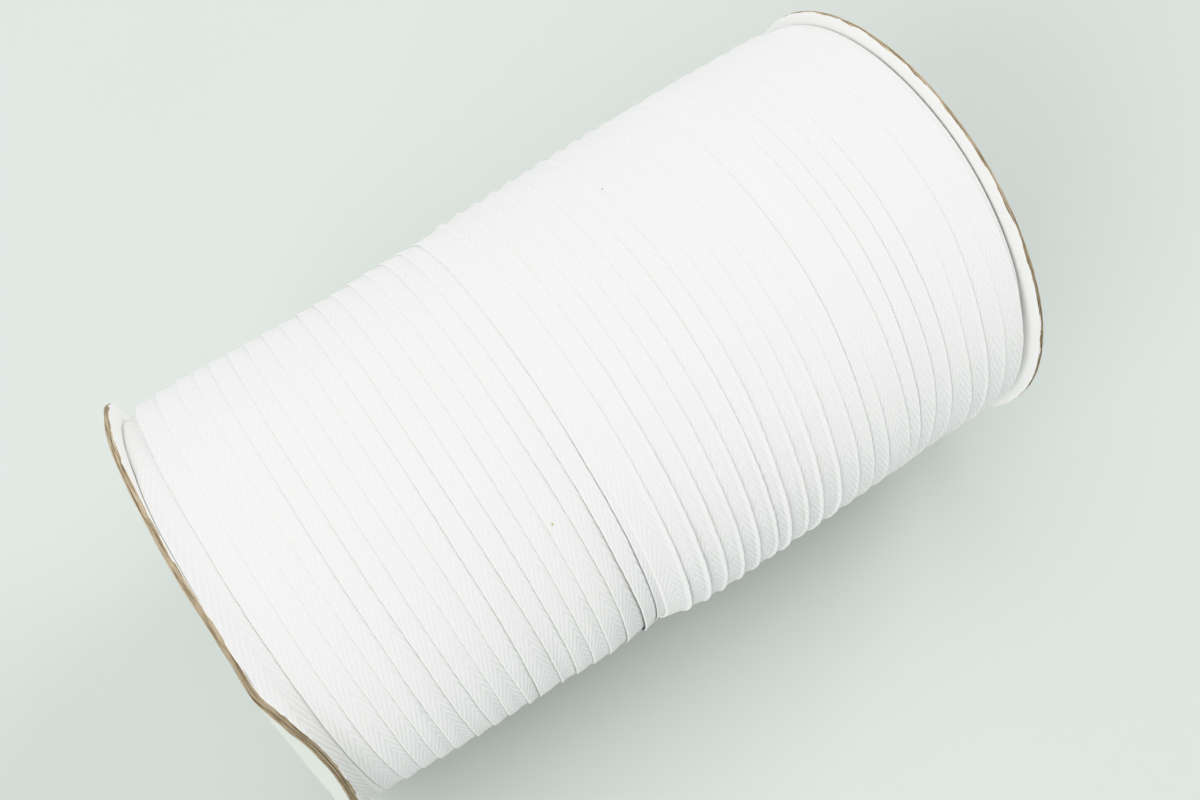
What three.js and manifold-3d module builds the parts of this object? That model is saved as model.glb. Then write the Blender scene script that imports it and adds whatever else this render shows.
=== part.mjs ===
// A roll of narrow herringbone twill tape on a spool with two board ends, lying on its side.
// Millimetres, +Z up. The roll's axis runs along X, and it rests on the rims of its two boards.
// Angles go round the axis from +Y through +Z, so 90 is the top of the roll and 270 its bottom.
import * as THREE from 'three';
import { mergeVertices } from 'three/addons/utils/BufferGeometryUtils.js';
import Module from 'manifold-3d';

const wasm = await Module();
wasm.setup();

// The spool
const SPOOL_LENGTH = 190;
const BOARD_RADIUS = 57.2;
const BOARD_THICKNESS = 1.4;
const BOARD_SIDES = 96;
const FLAT_SPOT_DEPTH = 0.15;
const CLEARANCE = 0.3;

// The crease across the left board: a flap of it is folded in towards the tape.
const CREASE_START_DEG = 124;
const CREASE_END_DEG = 184;
const CREASE_LEAN_OUTER = 0.62;
const CREASE_LEAN_INNER = 0.7;

// The tape
const TAPE_THICKNESS = 0.6;
const EDGE_RAMP = 0.3;
const TURN_SIDES = 48;
const SEAM_DEG = 270;

// Radius over the raised edges, along the roll. The full layer goes on under the next one.
const FULL_LAYER_FORM = [
  { x: -98.0, radius: 52.4 },
  { x: -82.0, radius: 53.2 },
  { x: -60.0, radius: 53.6 },
  { x: -40.0, radius: 53.9 },
  { x: -26.0, radius: 54.5 },
  { x: -17.0, radius: 53.9 },
  { x: -12.0, radius: 53.8 },
];
const RETURNING_LAYER_FORM = [
  { x: -11.0, radius: 54.6 },
  { x: -5.0, radius: 55.8 },
  { x: 6.0, radius: 56.5 },
  { x: 50.0, radius: 56.4 },
  { x: 72.0, radius: 56.0 },
  { x: 98.0, radius: 55.6 },
];

// The full layer was wound towards +X, and the next one came back over its right part.
// from is where a layer's first edge lies at the seam, hand is the way its turns climb as the
// angle grows, and top says which edge of each turn lies over its neighbour.
const LAYERS = [
  { from: -99.7, turns: 20, pitch: 4.66, hand: 1, top: 'left', form: FULL_LAYER_FORM },
  { from: -11.6, turns: 22, pitch: 5.0, hand: -1, top: 'right', form: RETURNING_LAYER_FORM },
];

// The shoulders where the winding turns in against a board, measured in from its end face
const SHOULDER = [
  { inward: 0.0, radius: 47.5 },
  { inward: 0.9, radius: 50.2 },
  { inward: 2.2, radius: 52.2 },
  { inward: 4.4, radius: 54.2 },
  { inward: 8.5, radius: 58.0 },
];

const COLOURS = {
  tape: { color: 0xf2f2ee, roughness: 0.92, metalness: 0 },
  board: { color: 0xe9e8e2, roughness: 0.7, metalness: 0 },
};

const AXIS_HEIGHT = BOARD_RADIUS - FLAT_SPOT_DEPTH;
const BOARD_INNER_FACE = SPOOL_LENGTH / 2 - BOARD_THICKNESS;
const WOUND_END = BOARD_INNER_FACE - CLEARANCE;
const CREASE_SPAN_DEG = CREASE_END_DEG - CREASE_START_DEG;

const radians = THREE.MathUtils.degToRad;

function along(rows, key, value, at) {
  const last = rows.length - 1;
  if (at <= rows[0][key]) return rows[0][value];
  if (at >= rows[last][key]) return rows[last][value];
  const i = rows.findIndex((row) => row[key] > at);
  const share = (at - rows[i - 1][key]) / (rows[i][key] - rows[i - 1][key]);
  return THREE.MathUtils.lerp(rows[i - 1][value], rows[i][value], share);
}

function closedSolid(geometry) {
  const bare = geometry.clone();
  bare.deleteAttribute('normal');
  bare.deleteAttribute('uv');
  const merged = mergeVertices(bare, 1e-4);
  return new wasm.Manifold(new wasm.Mesh({
    numProp: 3,
    vertProperties: Float32Array.from(merged.attributes.position.array),
    triVerts: Uint32Array.from(merged.index.array),
  }));
}

function geometryOf(solid) {
  const { vertProperties, triVerts } = solid.getMesh();
  const geometry = new THREE.BufferGeometry();
  geometry.setAttribute('position', new THREE.BufferAttribute(vertProperties, 3));
  geometry.setIndex(new THREE.BufferAttribute(triVerts, 1));
  const flat = geometry.toNonIndexed();
  flat.computeVertexNormals();
  return flat;
}

// The raised and the lower point of one turn's edge, in order along X
function edgePoints(layer, edgeX) {
  const high = along(layer.form, 'x', 'radius', edgeX);
  const radii = layer.top === 'left' ? [high - TAPE_THICKNESS, high] : [high, high - TAPE_THICKNESS];
  return radii.map((radius, side) => ({ x: edgeX + (side - 0.5) * EDGE_RAMP, radius }));
}

// One layer as a solid: its surface climbs by a turn each time round, and a fan from the axis
// closes each end along the stepped edge that the climb leaves there.
function layerSolid(layer) {
  const perColumn = 2 * (layer.turns + 1);
  const positions = [];
  for (let column = 0; column < TURN_SIDES; column += 1) {
    const turned = column / TURN_SIDES;
    const angle = radians(SEAM_DEG) + layer.hand * turned * 2 * Math.PI;
    for (let turn = 0; turn <= layer.turns; turn += 1) {
      const edgeX = layer.from + layer.pitch * (turn + turned);
      for (const { x, radius } of edgePoints(layer, edgeX)) {
        positions.push(x, radius * Math.cos(angle), radius * Math.sin(angle));
      }
    }
  }
  const vertex = (column, point) => column * perColumn + point;
  const triangles = [];
  const addTriangle = (a, b, c) => triangles.push(...(layer.hand > 0 ? [a, c, b] : [a, b, c]));
  const addStrip = (left, right, count) => {
    for (let i = 0; i < count - 1; i += 1) {
      addTriangle(left(i), left(i + 1), right(i + 1));
      addTriangle(left(i), right(i + 1), right(i));
    }
  };
  for (let column = 0; column < TURN_SIDES - 1; column += 1) {
    addStrip((i) => vertex(column, i), (i) => vertex(column + 1, i), perColumn);
  }
  const last = TURN_SIDES - 1;
  addStrip((i) => vertex(last, i), (i) => vertex(0, i + 2), perColumn - 2);

  const columns = [...Array(TURN_SIDES).keys()];
  const startRim = [...columns.map((column) => vertex(column, 0)), vertex(0, 2), vertex(0, 1)];
  const end = perColumn - 1;
  const endRim = [...columns.map((column) => vertex(column, end)), vertex(last, end - 1),
    vertex(last, end - 2)];
  const startHub = positions.length / 3;
  positions.push(layer.from, 0, 0);
  const endHub = startHub + 1;
  positions.push(layer.from + layer.pitch * layer.turns, 0, 0);
  startRim.forEach((a, i) => addTriangle(startHub, a, startRim[(i + 1) % startRim.length]));
  endRim.forEach((a, i) => addTriangle(endHub, endRim[(i + 1) % endRim.length], a));

  const geometry = new THREE.BufferGeometry();
  geometry.setAttribute('position', new THREE.Float32BufferAttribute(positions, 3));
  geometry.setIndex(triangles);
  return closedSolid(geometry);
}

// A turned body about the roll's axis, from rows of x and radius
function turnedSolid(rows) {
  const profile = [
    new THREE.Vector2(0, rows[0].x),
    ...rows.map(({ x, radius }) => new THREE.Vector2(radius, x)),
    new THREE.Vector2(0, rows[rows.length - 1].x),
  ];
  const body = new THREE.LatheGeometry(profile, TURN_SIDES);
  body.rotateZ(-Math.PI / 2);
  return closedSolid(body);
}

function windingGeometry() {
  const layers = LAYERS.map(layerSolid).reduce((sum, solid) => sum.add(solid));
  const leftRows = SHOULDER.map(({ inward, radius }) => ({ x: inward - WOUND_END, radius }));
  const rightRows = SHOULDER.map(({ inward, radius }) => ({ x: WOUND_END - inward, radius }));
  const room = turnedSolid([...leftRows, ...rightRows.reverse()]);
  return geometryOf(layers.intersect(room));
}

// An outline of (y, z) points seen along X, from arcs of the board's rim joined by straight chords
function rimOutline(...arcs) {
  const outline = new THREE.Shape();
  for (const [fromDeg, toDeg] of arcs) {
    outline.absarc(0, 0, BOARD_RADIUS, radians(fromDeg), radians(toDeg), false);
  }
  return outline.closePath();
}

// Extrudes an outline through a board's thickness, with its outer face at x = 0
function boardBlank(outline, widestArcDeg) {
  const blank = new THREE.ExtrudeGeometry(outline, {
    depth: BOARD_THICKNESS,
    bevelEnabled: false,
    curveSegments: Math.ceil((BOARD_SIDES * widestArcDeg) / 360),
  });
  // The outline's x, its y and the depth become Y, Z and X.
  blank.applyMatrix4(new THREE.Matrix4().set(0, 0, 1, 0, 1, 0, 0, 0, 0, 1, 0, 0, 0, 0, 0, 1));
  return blank;
}

// Where the rim meets the short flat at the board's lowest point
const FLAT_HALF_DEG = THREE.MathUtils.radToDeg(Math.acos(AXIS_HEIGHT / BOARD_RADIUS));
const FLAT_FROM_DEG = 270 - FLAT_HALF_DEG;
const FLAT_TO_DEG = -90 + FLAT_HALF_DEG;

function plainBoardGeometry() {
  const outline = rimOutline([FLAT_TO_DEG, FLAT_FROM_DEG]);
  return geometryOf(closedSolid(boardBlank(outline, 360)));
}

// The left board: its flap past the crease leans in by its distance from the crease.
function creasedBoardGeometry() {
  const main = rimOutline([FLAT_TO_DEG, CREASE_START_DEG], [CREASE_END_DEG, FLAT_FROM_DEG]);
  const flap = boardBlank(rimOutline([CREASE_START_DEG, CREASE_END_DEG]), CREASE_SPAN_DEG);
  const middle = radians(CREASE_START_DEG + CREASE_SPAN_DEG / 2);
  const creaseAt = BOARD_RADIUS * Math.cos(radians(CREASE_SPAN_DEG / 2));
  const position = flap.attributes.position;
  for (let i = 0; i < position.count; i += 1) {
    const outward = position.getY(i) * Math.cos(middle) + position.getZ(i) * Math.sin(middle);
    const inner = position.getX(i) > BOARD_THICKNESS / 2;
    const lean = inner ? CREASE_LEAN_INNER : CREASE_LEAN_OUTER;
    position.setX(i, position.getX(i) + Math.max(0, outward - creaseAt) * lean);
  }
  const mainSolid = closedSolid(boardBlank(main, CREASE_START_DEG - FLAT_TO_DEG));
  return geometryOf(mainSolid.add(closedSolid(flap)));
}

function part(name, geometry, finish) {
  const mesh = new THREE.Mesh(geometry, new THREE.MeshStandardMaterial(finish));
  mesh.name = name;
  mesh.position.z = AXIS_HEIGHT;
  return mesh;
}

const roll = new THREE.Group();
const tape = part('wound_tape', windingGeometry(), COLOURS.tape);
const leftBoard = part('end_board_left', creasedBoardGeometry(), COLOURS.board);
leftBoard.position.x = -SPOOL_LENGTH / 2;
const rightBoard = part('end_board_right', plainBoardGeometry(), COLOURS.board);
rightBoard.position.x = BOARD_INNER_FACE;
roll.add(tape, leftBoard, rightBoard);

export default roll;
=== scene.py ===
"""A roll of narrow white herringbone twill tape, wound on a spool with two board ends, lying on its side.

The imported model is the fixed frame. Here the winding gets its turns of real tape, lapped edge over
edge, and the boards get their layered cut edges and the crease of the left one.
Sizes are in millimetres and angles in degrees until a mesh is made. Angles go round the roll's axis
from +Y through +Z: 90 is the top of the roll, 180 the side towards the camera, 270 the floor.
"""
import math

import bmesh
import bpy
import numpy as np
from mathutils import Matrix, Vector


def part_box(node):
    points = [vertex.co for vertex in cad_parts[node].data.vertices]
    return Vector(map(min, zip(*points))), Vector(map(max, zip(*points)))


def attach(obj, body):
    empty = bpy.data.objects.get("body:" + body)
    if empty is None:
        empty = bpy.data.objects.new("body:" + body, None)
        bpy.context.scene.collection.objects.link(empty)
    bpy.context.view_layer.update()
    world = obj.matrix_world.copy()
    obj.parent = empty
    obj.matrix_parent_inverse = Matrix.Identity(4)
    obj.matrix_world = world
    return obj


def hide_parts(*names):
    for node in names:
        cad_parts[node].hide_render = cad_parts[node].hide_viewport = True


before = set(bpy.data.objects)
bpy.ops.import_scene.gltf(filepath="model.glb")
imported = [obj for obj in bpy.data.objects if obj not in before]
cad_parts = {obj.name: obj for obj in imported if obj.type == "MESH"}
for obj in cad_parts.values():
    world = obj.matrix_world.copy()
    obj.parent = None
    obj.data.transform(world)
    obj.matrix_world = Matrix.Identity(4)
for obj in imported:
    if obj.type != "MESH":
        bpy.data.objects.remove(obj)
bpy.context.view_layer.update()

MM = 0.001

# Sizes taken from the frame
RIGHT_BOARD_LOW, RIGHT_BOARD_HIGH = (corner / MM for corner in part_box("end_board_right"))
BOARD_RADIUS = RIGHT_BOARD_HIGH.y
AXIS_HEIGHT = RIGHT_BOARD_HIGH.z - BOARD_RADIUS
BOARD_THICKNESS = RIGHT_BOARD_HIGH.x - RIGHT_BOARD_LOW.x
RIGHT_OUTER_FACE = RIGHT_BOARD_HIGH.x
LEFT_OUTER_FACE = (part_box("end_board_left")[0] / MM).x
LEFT_INNER_FACE = LEFT_OUTER_FACE + BOARD_THICKNESS
WOUND_END = (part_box("wound_tape")[1] / MM).x

# The tape: a quarter inch wide, woven as a 2/2 herringbone with its spine in the middle. Its ends are
# the yarns along it and its picks those across, and past the ribs it has a narrow woven edge.
TAPE_WIDTH = 6.35
TAPE_THICKNESS = 0.42
END_SPACING = 0.265
PICK_SPACING = 0.87
ENDS_A_REPEAT = 4
RIBS_END_AT, EDGE_STARTS_AT = 2.65, 2.9
YARN_RELIEF = 0.12

# Where the winding's outside lies, seen at the two outlines of the photo's view
UPPER_OUTLINE_DEG = 26
FULL_LAYER_FORM = {
    "x": (-94, -86, -80, -60, -40, -27, -17, -12),
    "upper": (53.2, 53.9, 54.2, 53.7, 53.5, 54.0, 54.2, 54.0),
    "lower": (51.8, 52.2, 52.5, 53.5, 53.8, 54.5, 54.0, 53.7),
}
RETURNING_FORM = {
    "x": (-12, -6, 0, 6, 24, 51, 70, 84, 94),
    "upper": (54.4, 54.9, 55.2, 55.4, 56.0, 56.8, 56.9, 56.6, 56.2),
    "lower": (54.5, 55.7, 56.2, 56.5, 56.2, 55.9, 55.3, 55.3, 55.3),
}
RETURNING_FROM = FULL_LAYER_FORM["x"][-1]
# How the winding turns in at each board, measured in from its end face
LEFT_SHOULDER = {
    "inward": (0.0, 0.4, 1.1, 2.5, 6.0),
    "radius": (51.8, 52.6, 53.3, 54.2, 59.0),
}
RIGHT_SHOULDER = {
    "inward": (0.0, 0.6, 1.2, 2.2, 4.0, 8.0),
    "radius": (52.0, 53.6, 54.8, 55.8, 57.2, 61.0),
}
SHOULDER_SOFTNESS = 0.4
# Further down, the first turn is pressed up against the left board.
PRESSED_UP = {"deg": (62, 84, 176, 215), "height": (0.0, 3.3, 3.3, 0.0)}
PRESSED_REACH = 1.4
PRESSED_SHOULDER_SHARE = 1.5
# Higher up, the returning layer fills the corner at the right board.
CORNER_FILL = {"height": 1.6, "reach": 1.3, "until_deg": 100, "fading_deg": 50}

# Where each turn's upper edge lies along the roll, at three places down the side that shows.
# The next two columns give how much shade is painted into the lap there, at the top and low down;
# curl is how far the edge stands up, and raised how far the whole turn does.
PLACES_DEG = (110, 145, 180)
COLUMNS = ("top", "front", "low", "painted_shade_top", "painted_shade_low", "curl", "raised")
FULL_LAYER_TURNS = (
    (-93.4, -93.6, -93.6, 0.3, 0.3, 0.03, 0.0),
    (-87.8, -87.1, -86.0, 0.8, 0.9, 0.06, 0.0),
    (-82.5, -82.3, -81.4, 0.4, 0.9, 0.05, 0.0),
    (-77.4, -76.9, -76.9, 0.3, 0.8, 0.05, 0.0),
    (-73.2, -72.7, -72.5, 0.3, 0.7, 0.04, 0.0),
    (-69.3, -68.8, -68.3, 0.6, 0.5, 0.04, 0.0),
    (-64.6, -63.8, -62.9, 0.6, 0.8, 0.06, 0.1),
    (-60.3, -59.6, -58.5, 0.4, 0.6, 0.04, 0.0),
    (-55.7, -54.9, -54.3, 0.4, 0.5, 0.04, 0.0),
    (-51.1, -50.5, -49.1, 0.4, 0.5, 0.05, 0.1),
    (-46.7, -46.1, -46.0, 0.6, 0.7, 0.05, 0.0),
    (-42.2, -41.0, -40.1, 0.6, 0.7, 0.06, 0.1),
    (-37.4, -36.7, -36.0, 0.5, 0.6, 0.05, 0.0),
    (-32.9, -32.3, -31.5, 0.5, 0.6, 0.05, 0.0),
    (-28.5, -28.0, -27.1, 0.4, 0.6, 0.04, 0.0),
    (-23.8, -22.8, -22.1, 0.5, 0.7, 0.06, 0.1),
    (-19.2, -18.5, -17.2, 0.4, 1.0, 0.10, 0.4),
    (-14.7, -14.2, -13.6, 0.6, 0.9, 0.04, 0.0),
    (-10.0, -9.6, -9.0, 0.5, 0.5, 0.04, 0.0),
)
RETURNING_TURNS = (
    (91.0, 90.9, 90.6, 0.3, 0.3, 0.07, 0.0),
    (85.4, 85.2, 86.2, 0.2, 0.2, 0.14, 0.0),
    (80.7, 79.9, 81.5, 0.7, 0.8, 0.24, 0.0),
    (75.4, 74.7, 76.7, 0.1, 0.9, 0.17, 0.0),
    (69.5, 69.3, 69.8, 0.9, 0.6, 0.14, 0.0),
    (65.0, 64.9, 64.3, 0.9, 0.6, 0.14, 0.0),
    (60.3, 60.0, 60.5, 0.9, 0.9, 0.14, 0.0),
    (55.9, 56.1, 57.9, 0.8, 0.3, 0.14, 0.0),
    (49.2, 50.0, 51.8, 0.2, 0.9, 0.14, 0.0),
    (46.4, 46.0, 47.3, 0.9, 0.5, 0.14, 0.0),
    (41.4, 41.7, 42.7, 0.2, 0.4, 0.24, 0.0),
    (36.6, 36.5, 37.4, 0.3, 0.3, 0.41, 0.0),
    (31.8, 31.4, 32.2, 0.2, 0.2, 0.44, 0.0),
    (27.2, 27.0, 28.2, 0.3, 0.2, 0.37, 0.0),
    (22.4, 21.9, 23.0, 0.4, 0.2, 0.46, 0.1),
    (17.9, 18.1, 19.2, 0.6, 0.3, 0.37, 0.0),
    (12.8, 13.2, 14.2, 0.4, 0.3, 0.44, 0.0),
    (8.0, 8.6, 9.6, 0.4, 0.4, 0.37, 0.0),
    (3.3, 3.8, 4.7, 0.4, 0.3, 0.37, 0.0),
    (-1.4, -0.9, 0.2, 0.4, 0.3, 0.46, 0.1),
    (-6.6, -6.1, -4.9, 0.3, 0.3, 0.44, 0.0),
)
# Over the back, each turn drifts on to the next one, and towards the top the shade painted into its lap
# fades and the turn lies flat.
# way is 1 for the layer whose turns go towards +X, and -1 for the returning one.
UPPER_KNOTS_DEG = (20, 65)
UPPER_DRIFT = {1: (-0.9, -0.5), -1: (-0.6, -0.7)}
PAINTED_SHADE_SHARES = (0.25, 0.5, 1.1)
RAISED_SHARES = (0, 0, 0.5, 1, 1)

# The strip of tape is made in steps round the roll, each one a ring round the tape. near lies in from
# its free edge, at_lap counts from the line where the next turn covers it, and under is its other face,
# back from the covered edge, with the column of the upper face that each place lies below.
STEPS_A_TURN = 184
RING = {
    "near": np.array((0.0, 0.05, 0.14, 0.26, 0.42, 0.6, 0.8, 1.05, 1.35, 1.75, 2.2, 2.7, 3.2)),
    "at_lap": np.array((-0.55, -0.25, -0.1, 0.0, 0.35)),
    "under": np.array((TAPE_WIDTH - 0.02, 3.2, 1.75, 0.8, 0.1)),
    "below_column": np.array((-1, 12, 9, 6, 2)),
}
# The other face lies this share of the tape's thickness below the upper one.
UNDER_SHARE = 0.9
# The near places stay this far short of the lap, and the lap this far short of the covered edge.
SHORT_OF_LAP, SHORT_OF_EDGE = 0.7, 0.35
# Where the turns stand wide apart the tape is pulled a little wider, so that no gap opens.
LEAST_LAP = 0.4
FIRST_SPACING = 4.7
MOST_LAP = 3
# How far the first edge may reach past the winding's end face, into the clearance of the left board
EDGE_REACH = 0.25

# How much the tape climbs where it laps its neighbour, and how it comes down off it
LAP_RISE = {1: 0.38, -1: 0.2}
LAP_RAMP, LAP_RAMP_SHIFT = 2.8, 0.8
RAISED_RAMP = 0.5
# A curled edge is a bead with a hollow beside it: where each lies across, its half width and its share.
BEAD = {"at": 0.42, "half": 0.33, "share": 1.0}
HOLLOW = {"at": 1.35, "half": 0.4, "share": -0.35}
EDGE_ROUNDING = 0.2
# How wide the painted shade of a lap is, inside the free edge and on the tape beside the next turn's edge
SHADE_INSIDE, SHADE_BESIDE = 0.12, 0.34
# How the tape strays from an even course: wavelengths in degrees turned, and by how much
STRAY = {
    "edge": ((211, 83, 37, 14, 6.1), 0.09),
    "curl": ((47, 19, 8), 0.22),
    "lift": ((171, 67, 29, 11), 0.05),
}
# Both ends of a layer go in under its neighbours, and the last one is drawn back under them too.
END_SHORT_DEG = 80
TUCK_DEG, TUCK_DEPTH = 70, 1.1
DRAWN_BACK_DEG, DRAWN_BACK_BY = 90, 2.6

# The layers below. Their stacked edges jog in and out over an end face, at shares of its radius.
INNER_STEPS = 240
INNER_FACE_SHARES = np.array((0.02, 0.4, 0.7, 0.84, 0.87, 0.9, 0.925, 0.95, 0.965, 0.98, 0.99))
INNER_INWARD = np.array((0.05, 0.3, 0.8, 1.5, 2.3, 3.3, 5, 7))
INNER_MIDDLE = np.arange(-82, 83, 4.0)
STACK_JOG = 0.25
STACK_SEED = 5
# They lie this far under the raised edges, and deeper under the first turn at the left.
INNER_SUNK = 2 * TAPE_THICKNESS + 0.1
FIRST_TURN_SUNK = {"depth": 3.2, "reach": 2.5}
# Beyond the returning layer's first edge they show as a shallow step, and lower down as a dark gap.
STEP_FROM = RETURNING_TURNS[0][1] + 0.6
STEP_SUNK = 0.45
OPEN_GAP = {"depth": 3.5, "from_deg": 135, "opening_deg": 35}
# What shows of them is woven edge alone: a place across the tape, a light painted shade of a lap, and the
# radius that the picks are spaced at.
INNER_ACROSS = 3.0
INNER_SHADE = 0.1
INNER_RADIUS = 50

# A board, as rings round it: how far in from the rim those of each face lie, and how far those of the
# raw edge stand back, at each share of the way through
BOARD_STEPS = 720
FACE_INSETS = np.array((57.0, 45, 33, 23, 15, 10, 7, 5, 3.6, 2.5, 1.6, 0.9, 0.45, 0.2))
PLIES = {
    "through": np.array((0.0, 0.05, 0.12, 0.26, 0.31, 0.36, 0.52, 0.57, 0.62, 0.84, 0.93, 1.0)),
    "depth": np.array((0.10, 0.02, 0.00, 0.02, 0.16, 0.03, 0.00, 0.17, 0.04, 0.00, 0.03, 0.10)),
}
# The rim lies this far within the frame's, which leaves room for its fibres.
RIM_WITHIN = 0.06
# How ragged its cut edge is as a whole and ply by ply, by wavelengths in millimetres along the rim, and
# how far the board is warped, by wavelengths in degrees
RAGGED = ((61, 23, 9, 3.7, 1.7), 0.08)
RAGGED_PLY = ((17, 6.3, 2.9, 1.6), 0.05)
WARP = ((360, 180, 120), 0.06)
# How far the left board's rim leans in as it is handled out of flat
RIM_LEAN = {
    "deg": (20, 42, 50, 60, 75, 97, 104, 114, 119, 122),
    "lean": (0.6, 0.8, 0.3, 0.0, -0.03, 0.0, 0.3, 0.35, 0.1, 0.0),
}
# Its crease is a chord of the rim, and the flap past it is folded in by its share of that distance.
CREASE_START_DEG = 122.5
CREASE_END_DEG = 179
CREASE_MIDDLE_DEG = (CREASE_START_DEG + CREASE_END_DEG) / 2
CREASE_CHORD = BOARD_RADIUS * math.cos(math.radians((CREASE_END_DEG - CREASE_START_DEG) / 2))
CREASE_SOFTNESS = 0.5
FAR_FROM_CREASE = -10
# The soft bend never quite dies out, so this little is taken off all over.
BEND_LEFT_OVER = CREASE_SOFTNESS ** 2 / 80
FOLD = {
    "deg": (121, 126.9, 130, 133.4, 136.6, 140, 147.7, 153, 160, 179),
    "share": (0.35, 0.47, 0.52, 0.53, 0.58, 0.60, 0.61, 0.59, 0.56, 0.5),
}
# There the plies part, so that the inner face stands further off the outer one.
PARTED = {
    "deg": (120, 123, 126.6, 131, 137, 150, 160, 176, 186),
    "gap": (0, 0.3, 0.75, 0.35, 0.28, 0.32, 0.4, 0.35, 0),
}
FLAP_CLEARANCE = 0.35
# Away from the flap its clearance is held off the winding, and it never cuts below this radius.
LEAST_COSINE = 0.3
LEAST_RADIUS = 40

# Raw pulp from its dark seams to its pale fibres, and how it darkens along the rim towards the crease,
# in millimetres from +Y
PULP_TONES = ((0.38, "#5C4D3D"), (0.46, "#9A8B75"), (0.54, "#B8A990"), (0.66, "#CDC2AC"))
RIM_DARKENING = {"from": 70.0, "to": 150.0, "most": 0.28}

# Bits of cotton husk and dust caught on the tape
FLECKS = (
    {"x": 22.3, "deg": 64.8, "long": 0.55, "wide": 0.26, "colour": "#5E5A50"},
    {"x": -27.0, "deg": 126.3, "long": 0.8, "wide": 0.4, "colour": "#C9B98C"},
    {"x": -16.9, "deg": 135.4, "long": 0.6, "wide": 0.42, "colour": "#BCA058"},
)
FLECK_ABOVE_TAPE = 0.1
FLECK_HALF_HEIGHT = 0.25

# The photograph's view, from a camera worked out from the outlines of the boards and the winding
CAMERA = {"place": (-58.70, -97.94, 372.46), "turn_deg": 33.435, "down_deg": 69.878, "lens": 40.875}

# The studio, in metres and watts
TABLE_HALF = 3.0
ROOM = {"colour": "#FAFBFB", "strength": 0.57}
SOFT_BOXES = (
    {"name": "overhead_box", "place": (-0.4, 0.45, 2.0), "size": 2.1, "power": 25.0},
    {"name": "left_box", "place": (-1.9, -0.6, 1.3), "size": 1.6, "power": 31.0},
    {"name": "right_box", "place": (2.0, 0.3, 1.4), "size": 1.6, "power": 31.0},
)


def linear(hex_colour):
    """An sRGB hex colour as linear red, green, blue and alpha."""
    shares = [int(hex_colour[i:i + 2], 16) / 255 for i in (1, 3, 5)]
    return tuple(s / 12.92 if s <= 0.04045 else ((s + 0.055) / 1.055) ** 2.4 for s in shares) + (1.0,)


def add(tree, kind, inputs=None, **settings):
    """Adds a node with its settings, and sets or links its inputs. Gives back its outputs."""
    node = tree.nodes.new(kind)
    for name, value in settings.items():
        setattr(node, name, value)
    for socket, value in (inputs or {}).items():
        if isinstance(value, bpy.types.NodeSocket):
            tree.links.new(value, node.inputs[socket])
        else:
            node.inputs[socket].default_value = value
    return node.outputs


def new_material(name):
    material = bpy.data.materials.new(name)
    material.use_nodes = True
    material.node_tree.nodes.clear()
    return material, material.node_tree


def herringbone_ribs(tree, weave, side, picks):
    """The height of the ribs, where side is how far a spot lies from the spine."""
    # Ends are counted from the spine, and stray a little from an even spacing.
    unevenness = add(tree, "ShaderNodeTexNoise", {"Vector": weave, "Scale": 0.45, "Detail": 2.0})["Fac"]
    ends = add(tree, "ShaderNodeMath", {0: side, 1: 1 / END_SPACING}, operation="MULTIPLY")[0]
    ends = add(tree, "ShaderNodeMath", {0: unevenness, 1: 1.6, 2: ends}, operation="MULTIPLY_ADD")[0]
    end_number = add(tree, "ShaderNodeMath", {0: ends}, operation="FLOOR")[0]
    in_end = add(tree, "ShaderNodeMath", {0: ends}, operation="FRACT")[0]
    # A rib steps up one pick from each end to the next.
    rib = add(tree, "ShaderNodeMath", {0: picks, 1: end_number}, operation="SUBTRACT")[0]
    rib = add(tree, "ShaderNodeMath", {0: rib, 1: 2 * math.pi / ENDS_A_REPEAT}, operation="MULTIPLY")[0]
    rib = add(tree, "ShaderNodeMath", {0: rib}, operation="SINE")[0]
    rib = add(tree, "ShaderNodeMapRange", {0: rib, 1: -0.6, 2: 0.7, 3: 0.0, 4: 1.0},
              interpolation_type="SMOOTHSTEP")[0]
    # Each yarn is round across.
    yarn = add(tree, "ShaderNodeMath", {0: in_end, 1: math.pi}, operation="MULTIPLY")[0]
    yarn = add(tree, "ShaderNodeMath", {0: yarn}, operation="SINE")[0]
    yarn = add(tree, "ShaderNodeMapRange", {0: yarn, 1: 0.0, 2: 1.0, 3: 0.55, 4: 1.0})[0]
    return add(tree, "ShaderNodeMath", {0: rib, 1: yarn}, operation="MULTIPLY")[0]


def edge_loops(tree, picks):
    """The bumps along the woven edge, one for each pick as it turns back."""
    loops = add(tree, "ShaderNodeMath", {0: picks, 1: 2 * math.pi}, operation="MULTIPLY")[0]
    loops = add(tree, "ShaderNodeMath", {0: loops}, operation="SINE")[0]
    return add(tree, "ShaderNodeMapRange", {0: loops, 1: -1.0, 2: 1.0, 3: 0.3, 4: 1.0})[0]


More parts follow.
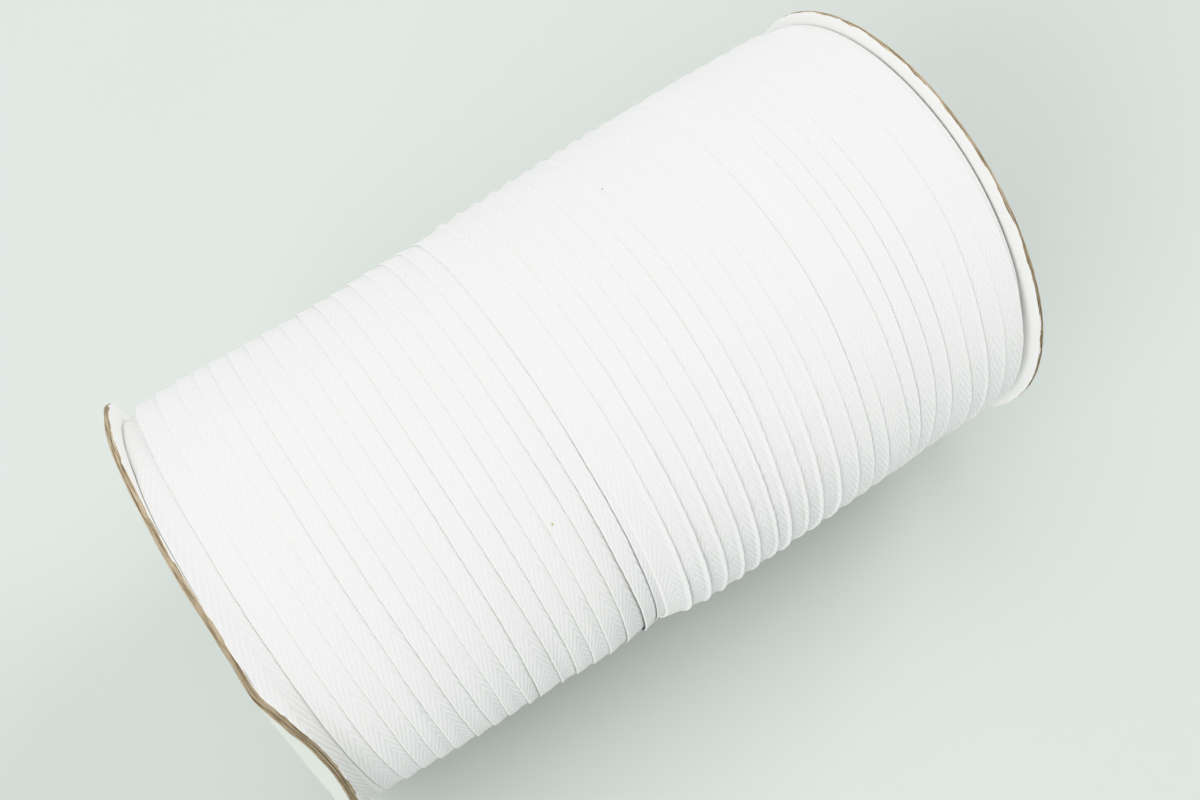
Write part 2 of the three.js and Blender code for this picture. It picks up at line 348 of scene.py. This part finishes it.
def cotton_twill():
    """Bleached cotton yarn in a 2/2 herringbone: matt, soft, with steep ribs that meet in a spine, and shade
    painted into its hollows and laps.
    """
    material, tree = new_material("bleached_cotton_twill")
    # weave holds how far a spot lies from the spine and along the tape, in millimetres, and how much shade
    # is painted on the lap.
    weave = add(tree, "ShaderNodeAttribute", attribute_name="weave")["Vector"]
    place = add(tree, "ShaderNodeSeparateXYZ", {0: weave})
    side = add(tree, "ShaderNodeMath", {0: place["X"]}, operation="ABSOLUTE")[0]
    picks = add(tree, "ShaderNodeMath", {0: place["Y"], 1: 1 / PICK_SPACING}, operation="MULTIPLY")[0]
    ribs = herringbone_ribs(tree, weave, side, picks)
    loops = edge_loops(tree, picks)
    bumps = add(tree, "ShaderNodeMapRange", {0: loops, 1: 0.3, 2: 1.0, 3: 0.9, 4: 1.15})[0]
    edge = add(tree, "ShaderNodeMapRange", {
        0: side, 1: RIBS_END_AT, 2: EDGE_STARTS_AT, 3: 0.0, 4: 1.0})[0]
    height = add(tree, "ShaderNodeMix", {0: edge, 2: ribs, 3: bumps})[0]
    # Stray fibres, and the yarn's own lumps
    fuzz = add(tree, "ShaderNodeTexNoise", {
        "Vector": weave, "Scale": 2.2, "Detail": 4.0, "Roughness": 0.75})["Fac"]
    surface = add(tree, "ShaderNodeMath", {0: fuzz, 1: 1.3, 2: height}, operation="MULTIPLY_ADD")[0]
    relief = add(tree, "ShaderNodeBump", {
        "Height": surface, "Strength": 0.8, "Distance": YARN_RELIEF * MM})
    # The yarn's colour follows the relief: painted shade darkens the hollows of the weave and the fuzz, and
    # the high woven edge is painted pale.
    painted_relief_shade = add(tree, "ShaderNodeMapRange", {0: surface, 1: 0.45, 2: 1.6, 3: 0.0, 4: 1.0})[0]
    yarn_colour = add(tree, "ShaderNodeMix", {0: painted_relief_shade, 6: linear("#E9E9E8"), 7: linear("#FDFDFC")},
                      data_type="RGBA")[2]
    # Shade is painted on the lap, darker between the loops, where it looks in under the edge.
    between = add(tree, "ShaderNodeMath", {0: 1.35, 1: loops}, operation="SUBTRACT")[0]
    lap = add(tree, "ShaderNodeMath", {0: place["Z"], 1: between}, operation="MULTIPLY")[0]
    colour_with_painted_shade = add(tree, "ShaderNodeMix", {0: lap, 6: yarn_colour, 7: linear("#70706A")},
                     data_type="RGBA")[2]
    shader = add(tree, "ShaderNodeBsdfPrincipled", {
        "Base Color": colour_with_painted_shade, "Roughness": 0.92, "Specular IOR Level": 0.25,
        "Sheen Weight": 0.15, "Sheen Roughness": 0.5, "Normal": relief["Normal"]})
    add(tree, "ShaderNodeOutputMaterial", {"Surface": shader[0]})
    return material


def pulp_sheets(tree, through, around):
    """Fibres that lie in sheets, long along the board's edge and thin through it."""
    thin = add(tree, "ShaderNodeMath", {0: through, 1: 4.2}, operation="MULTIPLY")[0]
    long = add(tree, "ShaderNodeMath", {0: around, 1: 0.1}, operation="MULTIPLY")[0]
    place = add(tree, "ShaderNodeCombineXYZ", {0: thin, 1: long})[0]
    return add(tree, "ShaderNodeTexNoise", {
        "Vector": place, "Scale": 1.0, "Detail": 5.0, "Roughness": 0.7})["Fac"]


def pulp_colour(tree, sheets, around):
    """Straw-coloured pulp, darker along the rim towards the crease."""
    pulp = add(tree, "ShaderNodeValToRGB", {0: sheets})
    tones = tree.nodes[-1].color_ramp.elements
    for position, tone in PULP_TONES:
        tones.new(position).color = linear(tone)
    tones.remove(tones[-1])
    tones.remove(tones[0])
    handled = add(tree, "ShaderNodeMapRange", {
        0: around, 1: RIM_DARKENING["from"], 2: RIM_DARKENING["to"], 3: 0.0, 4: RIM_DARKENING["most"]})[0]
    return add(tree, "ShaderNodeMix", {0: handled, 6: pulp[0], 7: linear("#54442F")}, data_type="RGBA")[2]


def paper_colour(tree, grain, through):
    """White paper on the board's inner face, and the same paper on its outer face painted cooler and greyer,
    as painted shade.
    """
    inner_paper = add(tree, "ShaderNodeMix", {0: grain, 6: linear("#F0F0EE"), 7: linear("#F8F8F7")},
                      data_type="RGBA")[2]
    # The outer face's paper is painted greyer, as shade.
    outer_paper_in_painted_shade = add(tree, "ShaderNodeMix", {0: grain, 6: linear("#C9CFC8"), 7: linear("#D2D7D0")},
                      data_type="RGBA")[2]
    inward = add(tree, "ShaderNodeMath", {0: through, 1: 0.1}, operation="GREATER_THAN")[0]
    return add(tree, "ShaderNodeMix", {0: inward, 6: outer_paper_in_painted_shade, 7: inner_paper}, data_type="RGBA")[2]


def layered_board():
    """Straw-coloured pulp board lined with paper: matt faces, and a raw edge with dark plies."""
    material, tree = new_material("paper_lined_pulp_board")
    # board holds how far a spot lies through the board, round its rim and on the paper, in millimetres.
    board = add(tree, "ShaderNodeAttribute", attribute_name="board")["Vector"]
    place = add(tree, "ShaderNodeSeparateXYZ", {0: board})
    through, around, on_paper = place["X"], place["Y"], place["Z"]
    sheets = pulp_sheets(tree, through, around)
    grain = add(tree, "ShaderNodeTexNoise", {"Vector": board, "Scale": 1.2, "Detail": 5.0})["Fac"]
    # The paper is worn off in places along the rim.
    wear = add(tree, "ShaderNodeTexNoise", {"Vector": board, "Scale": 0.13, "Detail": 3.0})["Fac"]
    worn = add(tree, "ShaderNodeMapRange", {0: wear, 1: 0.42, 2: 0.72, 3: -0.05, 4: 0.6})[0]
    raw = add(tree, "ShaderNodeMath", {0: on_paper, 1: worn}, operation="LESS_THAN")[0]
    colour = add(tree, "ShaderNodeMix", {
        0: raw, 6: paper_colour(tree, grain, through), 7: pulp_colour(tree, sheets, around)},
        data_type="RGBA")[2]
    height = add(tree, "ShaderNodeMix", {0: raw, 2: grain, 3: sheets})[0]
    relief = add(tree, "ShaderNodeBump", {"Height": height, "Strength": 0.4, "Distance": 0.1 * MM})
    shader = add(tree, "ShaderNodeBsdfPrincipled", {
        "Base Color": colour, "Roughness": 0.75, "Specular IOR Level": 0.3, "Normal": relief["Normal"]})
    add(tree, "ShaderNodeOutputMaterial", {"Surface": shader[0]})
    return material


def husk(name, colour):
    """Dry cotton husk: a dull speck, mottled over a quarter of a millimetre."""
    material, tree = new_material(name)
    spot = add(tree, "ShaderNodeTexCoord")["Object"]
    tone = add(tree, "ShaderNodeTexNoise", {"Vector": spot, "Scale": 4 / MM, "Detail": 2.0})["Fac"]
    darker = tuple(0.6 * c for c in linear(colour)[:3]) + (1.0,)
    mixed = add(tree, "ShaderNodeMix", {0: tone, 6: darker, 7: linear(colour)}, data_type="RGBA")[2]
    shader = add(tree, "ShaderNodeBsdfPrincipled", {"Base Color": mixed, "Roughness": 0.8})
    add(tree, "ShaderNodeOutputMaterial", {"Surface": shader[0]})
    return material


def painted_table_top():
    """A pale painted board under the roll: matt, and clouded a little."""
    material, tree = new_material("pale_table_top")
    spot = add(tree, "ShaderNodeTexCoord")["Object"]
    tone = add(tree, "ShaderNodeTexNoise", {"Vector": spot, "Scale": 6.0, "Detail": 2.0})["Fac"]
    colour = add(tree, "ShaderNodeMix", {0: tone, 6: linear("#C0C6C2"), 7: linear("#C4C9C6")},
                 data_type="RGBA")[2]
    shader = add(tree, "ShaderNodeBsdfPrincipled", {
        "Base Color": colour, "Roughness": 0.8, "Specular IOR Level": 0.2})
    add(tree, "ShaderNodeOutputMaterial", {"Surface": shader[0]})
    return material


def put_in_scene(name, data):
    thing = bpy.data.objects.new(name, data)
    bpy.context.scene.collection.objects.link(thing)
    return thing


def ring_faces(rings, around):
    """Quads between successive rings of points."""
    ring, spot = np.meshgrid(np.arange(rings - 1), np.arange(around), indexing="ij")
    following = (spot + 1) % around
    return np.stack([ring * around + spot, ring * around + following,
                     (ring + 1) * around + following, (ring + 1) * around + spot], -1).reshape(-1, 4)


def close_ends(mesh, rings, around):
    """Caps the first and the last ring, and turns all faces outwards."""
    work = bmesh.new()
    work.from_mesh(mesh)
    work.verts.ensure_lookup_table()
    for start in (0, (rings - 1) * around):
        work.faces.new([work.verts[start + i] for i in range(around)])
    bmesh.ops.recalc_face_normals(work, faces=work.faces)
    work.to_mesh(mesh)
    work.free()


def ring_piece(name, points, attribute, values, material):
    """A smooth closed piece from rings of points, with one vector for each that its material reads."""
    rings, around = points.shape[:2]
    mesh = bpy.data.meshes.new(name)
    mesh.from_pydata((points.reshape(-1, 3) * MM).tolist(), [], ring_faces(rings, around).tolist())
    mesh.shade_smooth()
    layer = mesh.attributes.new(attribute, "FLOAT_VECTOR", "POINT")
    layer.data.foreach_set("vector", np.ascontiguousarray(values, np.float32).ravel())
    mesh.materials.append(material)
    close_ends(mesh, rings, around)
    return put_in_scene(name, mesh)


def ease(share):
    share = np.clip(share, 0, 1)
    return share * share * (3 - 2 * share)


def hump(across, at, half):
    """A soft hump of height one."""
    return np.exp(-((across - at) / half) ** 2)


def wander(at, seed, wavelengths, size):
    """A smooth, seeded wobble made of a few waves."""
    random = np.random.default_rng(seed)
    total = np.zeros_like(at, dtype=float)
    for wavelength in wavelengths:
        total += np.sin(2 * np.pi * (at / wavelength + random.random())) * random.uniform(0.5, 1.0)
    return total * size / math.sqrt(len(wavelengths))


def curve_through(knots, values, at):
    """A smooth curve through knots, with each slope taken from the neighbours on both sides."""
    knots, values = np.asarray(knots, float), np.asarray(values, float)
    slopes = np.gradient(values, knots)
    i = np.clip(np.searchsorted(knots, at) - 1, 0, len(knots) - 2)
    span = knots[i + 1] - knots[i]
    t = np.clip((at - knots[i]) / span, 0, 1)
    return (values[i] * (1 + 2 * t) * (1 - t) ** 2 + values[i + 1] * t * t * (3 - 2 * t)
            + span * (slopes[i] * t * (1 - t) ** 2 - slopes[i + 1] * t * t * (1 - t)))


def smooth_lower(a, b, softness):
    """The lower of two heights, with a soft bend where they cross."""
    return 0.5 * (a + b - np.sqrt((a - b) ** 2 + softness ** 2))


def round_points(x, radius, angle):
    """Points along the roll, each at its radius and angle round the axis."""
    theta = np.radians(angle)
    return np.stack([x + 0 * theta, radius * np.cos(theta), AXIS_HEIGHT + radius * np.sin(theta)], -1)


def under_flap(x, angle):
    """The radius that keeps clear of the flap's inner face."""
    turn = np.radians(angle - CREASE_MIDDLE_DEG)
    limit = CREASE_CHORD + (x - LEFT_INNER_FACE - FLAP_CLEARANCE) / max(FOLD["share"])
    return np.maximum(limit / np.maximum(np.cos(turn), LEAST_COSINE), LEAST_RADIUS)


def wound_radius(form, x, angle):
    """The radius over the raised edges. It differs round the roll, and turns in at both ends."""
    x, angle = np.broadcast_arrays(np.asarray(x, float), np.asarray(angle, float))
    lower_share = 0.5 - 0.5 * np.cos(np.radians(angle - UPPER_OUTLINE_DEG))
    upper = np.interp(x, form["x"], form["upper"])
    lower = np.interp(x, form["x"], form["lower"])
    from_left, from_right = x + WOUND_END, WOUND_END - x
    pressed = np.interp(angle, PRESSED_UP["deg"], PRESSED_UP["height"])
    radius = upper + (lower - upper) * lower_share + pressed * hump(from_left, 0, PRESSED_REACH)
    left = np.interp(from_left, LEFT_SHOULDER["inward"], LEFT_SHOULDER["radius"])
    left = left + pressed * PRESSED_SHOULDER_SHARE
    filled = 1 - ease((angle - CORNER_FILL["until_deg"]) / CORNER_FILL["fading_deg"])
    right = np.interp(from_right, RIGHT_SHOULDER["inward"], RIGHT_SHOULDER["radius"])
    right = right + CORNER_FILL["height"] * filled * hump(from_right, 0, CORNER_FILL["reach"])
    for limit in (left, right, under_flap(x, angle)):
        radius = smooth_lower(radius, limit, SHOULDER_SOFTNESS)
    return radius


def edge_knots(turns, way):
    """Each column of the table as values along the strip, at its knots in degrees turned."""
    rows = [dict(zip(COLUMNS, row)) for row in turns]
    knots = [360 * number + angle for number in range(len(rows)) for angle in UPPER_KNOTS_DEG + PLACES_DEG]
    values = {"edge": [], "gap": [], "curl": [], "raised": []}
    for row in rows:
        values["edge"] += [row["top"] + drift for drift in UPPER_DRIFT[way]]
        values["edge"] += [row["top"], row["front"], row["low"]]
        values["gap"] += [row["painted_shade_top"] * share for share in PAINTED_SHADE_SHARES]
        values["gap"] += [(row["painted_shade_top"] + row["painted_shade_low"]) / 2, row["painted_shade_low"]]
        values["curl"] += [row["curl"]] * len(RAISED_SHARES)
        values["raised"] += [row["raised"] * share for share in RAISED_SHARES]
    return knots, values


def layer_course(turns, way, seed):
    """Follows a layer's free edge round and round the roll, with a row of values for each step."""
    knots, values = edge_knots(turns, way)

    def edge_at(turned):
        return curve_through(knots, values["edge"], turned) + wander(turned, seed, *STRAY["edge"])

    start, end = UPPER_KNOTS_DEG[0], 360 * len(turns) - END_SHORT_DEG
    turned = np.arange(start, end, 360 / STEPS_A_TURN)[:, None]
    first, last = turned < start + 360, turned > end - 360
    edge = np.clip(edge_at(turned), -WOUND_END - EDGE_REACH, WOUND_END)
    spacing_before = np.where(first, FIRST_SPACING, np.abs(edge - edge_at(turned - 360)))
    spacing = np.where(last, TAPE_WIDTH + 1, np.abs(edge_at(turned + 360) - edge))
    tucked = 1 - ease((turned - start) / TUCK_DEG) + ease((turned - end + TUCK_DEG) / TUCK_DEG)
    uneven = 1 + wander(turned, seed + 1, *STRAY["curl"])
    return {
        "turned": turned,
        "angle": turned % 360,
        "edge": edge,
        "spacing": spacing,
        "lap": np.clip(TAPE_WIDTH - spacing_before, 0, MOST_LAP),
        "width": np.where(last, TAPE_WIDTH, np.maximum(TAPE_WIDTH, spacing + LEAST_LAP)),
        # gap and the value after it are the shade painted into the lap, inside the free edge and beside the
        # next turn's edge.
        "gap": curve_through(knots, values["gap"], turned),
        "painted_shade_after": np.where(last, 0, curve_through(knots, values["gap"], turned + 360)),
        "curl": curve_through(knots, values["curl"], turned) * uneven,
        "raised": curve_through(knots, values["raised"], turned),
        "lift": wander(turned, seed + 2, *STRAY["lift"]),
        "tucked": tucked,
        "drawn_back": DRAWN_BACK_BY * tucked * (turned > end - DRAWN_BACK_DEG),
    }


def upper_face(course):
    """Places across the tape, from its free edge to the one that the next turn covers."""
    lap_line = np.minimum(course["spacing"], course["width"] - SHORT_OF_EDGE)
    squeeze = np.minimum(1, (lap_line - SHORT_OF_LAP) / RING["near"][-1])
    return np.hstack([RING["near"] * squeeze, lap_line + RING["at_lap"], course["width"]])


def tape_rise(course, across, way):
    """How far the tape stands up: on its neighbour's edge, as a raised turn, and as a curled edge."""
    rise = LAP_RISE[way] * (1 - ease((across - course["lap"] + LAP_RAMP_SHIFT) / LAP_RAMP))
    rise += course["raised"] * (1 - ease((across - course["spacing"] + RAISED_RAMP) / RAISED_RAMP))
    for form in (BEAD, HOLLOW):
        rise += course["curl"] * form["share"] * hump(across, form["at"], form["half"])
    for to_side in (across, course["width"] - across):
        corner = 1 - np.clip(to_side / EDGE_ROUNDING, 0, 1)
        rise -= (1 - np.sqrt(1 - corner ** 2)) * TAPE_THICKNESS / 2
    return rise


def lap_shade(course, across):
    """How much shade is painted on the tape, just inside its free edge and beside the next turn's edge."""
    inside = np.clip(1 - across / SHADE_INSIDE, 0, 1)
    beside = np.clip(1 - np.abs(course["spacing"] - across) / SHADE_BESIDE, 0, 1)
    return course["gap"] * inside + course["painted_shade_after"] * beside


def tape_strip(name, turns, form, material, way, seed):
    """One layer of tape, laid turn after turn."""
    course = layer_course(turns, way, seed)
    across = upper_face(course)
    x = course["edge"] + way * across - way * course["drawn_back"]
    radius = wound_radius(form, x, course["angle"]) - TAPE_THICKNESS + course["lift"]
    radius = radius + tape_rise(course, across, way) - TUCK_DEPTH * course["tucked"]
    shade = lap_shade(course, across)

    below = RING["below_column"]
    x = np.hstack([x, x[:, below]])
    radius = np.hstack([radius, radius[:, below] - TAPE_THICKNESS * UNDER_SHARE])
    across = np.hstack([across, RING["under"] + 0 * course["turned"]])
    # The other face takes the shade painted just inside the free edge.
    shade = np.hstack([shade, course["gap"] + 0 * RING["under"]])

    along = np.radians(course["turned"]) * radius.mean() + 0 * x
    weave = np.stack([across - TAPE_WIDTH / 2, along, np.clip(shade, 0, 1)], -1)
    return ring_piece(name, round_points(x, radius, course["angle"]), "weave", weave, material)


def inner_rings():
    """Places along the roll for the layers below, and each one's share of the radius there."""
    jogs = np.random.default_rng(STACK_SEED).uniform(0.0, STACK_JOG, len(INNER_FACE_SHARES))
    left = -WOUND_END + np.concatenate([np.full(len(jogs), INNER_INWARD[0]) + jogs, INNER_INWARD])
    shares = np.concatenate([INNER_FACE_SHARES, np.ones(len(INNER_INWARD))])
    x = np.concatenate([left, INNER_MIDDLE, -left[::-1]])
    return x[:, None], np.concatenate([shares, np.ones(len(INNER_MIDDLE)), shares[::-1]])[:, None]


def inner_winding(material):
    """The layers below: a body just under the outer turns, with the tape's stacked edges at both ends."""
    angle = np.linspace(0, 360, INNER_STEPS, endpoint=False)[None]
    x, shares = inner_rings()
    over_full_layer = wound_radius(FULL_LAYER_FORM, x, angle)
    over_returning = wound_radius(RETURNING_FORM, x, angle)
    radius = np.where(x < RETURNING_FROM, over_full_layer, over_returning)
    sunk = INNER_SUNK + FIRST_TURN_SUNK["depth"] * hump(x, -WOUND_END, FIRST_TURN_SUNK["reach"])
    opened = ease((angle - OPEN_GAP["from_deg"]) / OPEN_GAP["opening_deg"])
    sunk = np.where(x > STEP_FROM, STEP_SUNK + OPEN_GAP["depth"] * opened, sunk)
    radius = (radius - sunk) * shares
    along = np.radians(angle) * INNER_RADIUS + 0 * x
    weave = np.stack([INNER_ACROSS + 0 * radius, along, INNER_SHADE + 0 * radius], -1)
    return ring_piece("inner_winding", round_points(x, radius, angle), "weave", weave, material)


def fleck(name, place, material):
    """A tiny crumpled flake that lies flat on the tape."""
    work = bmesh.new()
    bmesh.ops.create_icosphere(work, subdivisions=2, radius=1)
    random = np.random.default_rng(int(place["deg"]))
    theta = math.radians(place["deg"])
    form = FULL_LAYER_FORM if place["x"] < RETURNING_FROM else RETURNING_FORM
    radius = float(wound_radius(form, place["x"], place["deg"])) + FLECK_ABOVE_TAPE
    for vertex in work.verts:
        along, across, up = vertex.co * float(random.uniform(0.75, 1.1))
        turn = theta + along * place["long"] / 2 / radius
        height = radius + up * FLECK_HALF_HEIGHT
        vertex.co = Vector((place["x"] + across * place["wide"] / 2, height * math.cos(turn),
                            AXIS_HEIGHT + height * math.sin(turn))) * MM
    mesh = bpy.data.meshes.new(name)
    work.to_mesh(mesh)
    work.free()
    mesh.materials.append(material)
    return put_in_scene(name, mesh)


def fold_flap(x, y, z, angle, share):
    """Folds the left board's flap in past its crease, and leans its rim as the photo shows."""
    middle = math.radians(CREASE_MIDDLE_DEG)
    past = y * math.cos(middle) + z * math.sin(middle) - CREASE_CHORD
    past = np.where(np.cos(np.radians(angle) - middle) > 0, past, FAR_FROM_CREASE)
    past = 0.5 * (past + np.sqrt(past ** 2 + CREASE_SOFTNESS ** 2)) - BEND_LEFT_OVER
    past = np.maximum(past, 0)
    fold = np.interp(angle, FOLD["deg"], FOLD["share"])
    rim_share = (np.hypot(y, z) / BOARD_RADIUS) ** 4
    parted = np.interp(angle, PARTED["deg"], PARTED["gap"]) * share * rim_share
    lean = np.interp(angle, RIM_LEAN["deg"], RIM_LEAN["lean"], left=0) * rim_share
    drawn_in = past * (1 - np.sqrt(1 - fold ** 2))
    x = x + past * fold + parted + lean
    return x, y - drawn_in * math.cos(middle), z - drawn_in * math.sin(middle)


def ragged_rim(inset, arc, seed):
    """How far the cut edge strays in and out, fading over the faces and each ply for itself."""
    ragged = wander(arc, seed, *RAGGED) * np.exp(-inset)
    first_ply = len(FACE_INSETS)
    for ply in range(first_ply, first_ply + len(PLIES["depth"])):
        ragged[ply] += wander(arc[0], seed + ply, *RAGGED_PLY)
    return ragged


def end_board(name, outer_face, material, inward, wrapped, creased, seed):
    """A round board: both paper faces, and between them a raw edge of plies with grooves.

    inward is the way from its outer face to the tape, 1 for +X, and wrapped the share of the edge that
    the inner paper is pressed over.
    """
    angle = np.linspace(0, 360, BOARD_STEPS, endpoint=False)[None]
    arc = np.radians(angle) * BOARD_RADIUS
    faces = len(FACE_INSETS)
    share = np.concatenate([np.zeros(faces), PLIES["through"], np.ones(faces)])[:, None]
    inset = np.concatenate([FACE_INSETS, PLIES["depth"], FACE_INSETS[::-1]])[:, None]
    # How far each spot lies on the paper, which is less than nothing on the raw edge
    ply_depth = (PLIES["through"] - 1 + wrapped) * BOARD_THICKNESS
    on_paper = np.concatenate([FACE_INSETS, ply_depth, FACE_INSETS[::-1] + ply_depth[-1]])[:, None]
    radius = BOARD_RADIUS - RIM_WITHIN - inset + ragged_rim(inset, arc, seed)
    y, z = radius * np.cos(np.radians(angle)), radius * np.sin(np.radians(angle))
    warp = wander(angle, seed + 3, *WARP) * (radius / BOARD_RADIUS) ** 2
    x = outer_face + inward * share * BOARD_THICKNESS + warp
    if creased:
        x, y, z = fold_flap(x, y, z, angle + 0 * radius, share)
    # It is pressed flat where it meets the floor.
    points = np.stack([x, y, np.maximum(AXIS_HEIGHT + z, 0)], -1)
    values = np.stack([share * BOARD_THICKNESS + 0 * radius, arc + 0 * radius, on_paper + 0 * radius], -1)
    return ring_piece(name, points, "board", values, material)


def photo_camera():
    """The photograph's view, from above the roll's left half."""
    data = bpy.data.cameras.new("photo_view")
    data.sensor_width = 36.0
    data.lens = CAMERA["lens"]
    data.clip_start = 0.01
    data.clip_end = 20
    camera = put_in_scene("photo_view", data)
    camera.location = Vector(CAMERA["place"]) * MM
    turn, down = math.radians(CAMERA["turn_deg"]), math.radians(CAMERA["down_deg"])
    forward = Vector((math.sin(turn) * math.cos(down), math.cos(turn) * math.cos(down), -math.sin(down)))
    camera.rotation_euler = forward.to_track_quat("-Z", "Y").to_euler()
    bpy.context.scene.camera = camera


def soft_box(name, place, size, power):
    """A large square soft box, turned to the roll."""
    data = bpy.data.lights.new(name, "AREA")
    data.shape = "SQUARE"
    data.size = size
    data.energy = power
    lamp = put_in_scene(name, data)
    lamp.location = place
    aim = Vector((0, 0, AXIS_HEIGHT * MM)) - lamp.location
    lamp.rotation_euler = aim.to_track_quat("-Z", "Y").to_euler()


def table():
    """The floor that the roll lies on."""
    mesh = bpy.data.meshes.new("table_top")
    corners = [(x, y, 0) for x, y in ((-1, -1), (1, -1), (1, 1), (-1, 1))]
    mesh.from_pydata([Vector(corner) * TABLE_HALF for corner in corners], [], [(0, 1, 2, 3)])
    mesh.materials.append(painted_table_top())
    return put_in_scene("table_top", mesh)


def studio():
    """A pale table top, an even white room, and soft boxes overhead and at both sides."""
    bpy.context.scene.view_settings.view_transform = "Khronos PBR Neutral"
    table()
    world = bpy.data.worlds.new("white_room")
    bpy.context.scene.world = world
    world.use_nodes = True
    world.node_tree.nodes.clear()
    room = add(world.node_tree, "ShaderNodeBackground", {
        "Color": linear(ROOM["colour"]), "Strength": ROOM["strength"]})
    add(world.node_tree, "ShaderNodeOutputWorld", {"Surface": room[0]})
    for box in SOFT_BOXES:
        soft_box(**box)


photo_camera()
cotton = cotton_twill()
pulp_board = layered_board()
full_layer = tape_strip("tape_full_layer", FULL_LAYER_TURNS, FULL_LAYER_FORM, cotton, way=1, seed=11)
returning_layer = tape_strip("tape_returning_layer", RETURNING_TURNS, RETURNING_FORM, cotton,
                             way=-1, seed=23)
inner = inner_winding(cotton)
left_board = end_board("creased_end_board", LEFT_OUTER_FACE, pulp_board,
                       inward=1, wrapped=0.12, creased=True, seed=41)
right_board = end_board("plain_end_board", RIGHT_OUTER_FACE, pulp_board,
                        inward=-1, wrapped=0.5, creased=False, seed=57)

for piece in (full_layer, returning_layer, inner):
    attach(piece, "root")
    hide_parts("wound_tape")
for piece, node in ((left_board, "end_board_left"), (right_board, "end_board_right")):
    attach(piece, "root")
    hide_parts(node)
for number, place in enumerate(FLECKS, 1):
    piece = fleck(f"husk_fleck_{number}", place, husk(f"cotton_husk_{number}", place["colour"]))
    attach(piece, "root")

studio()
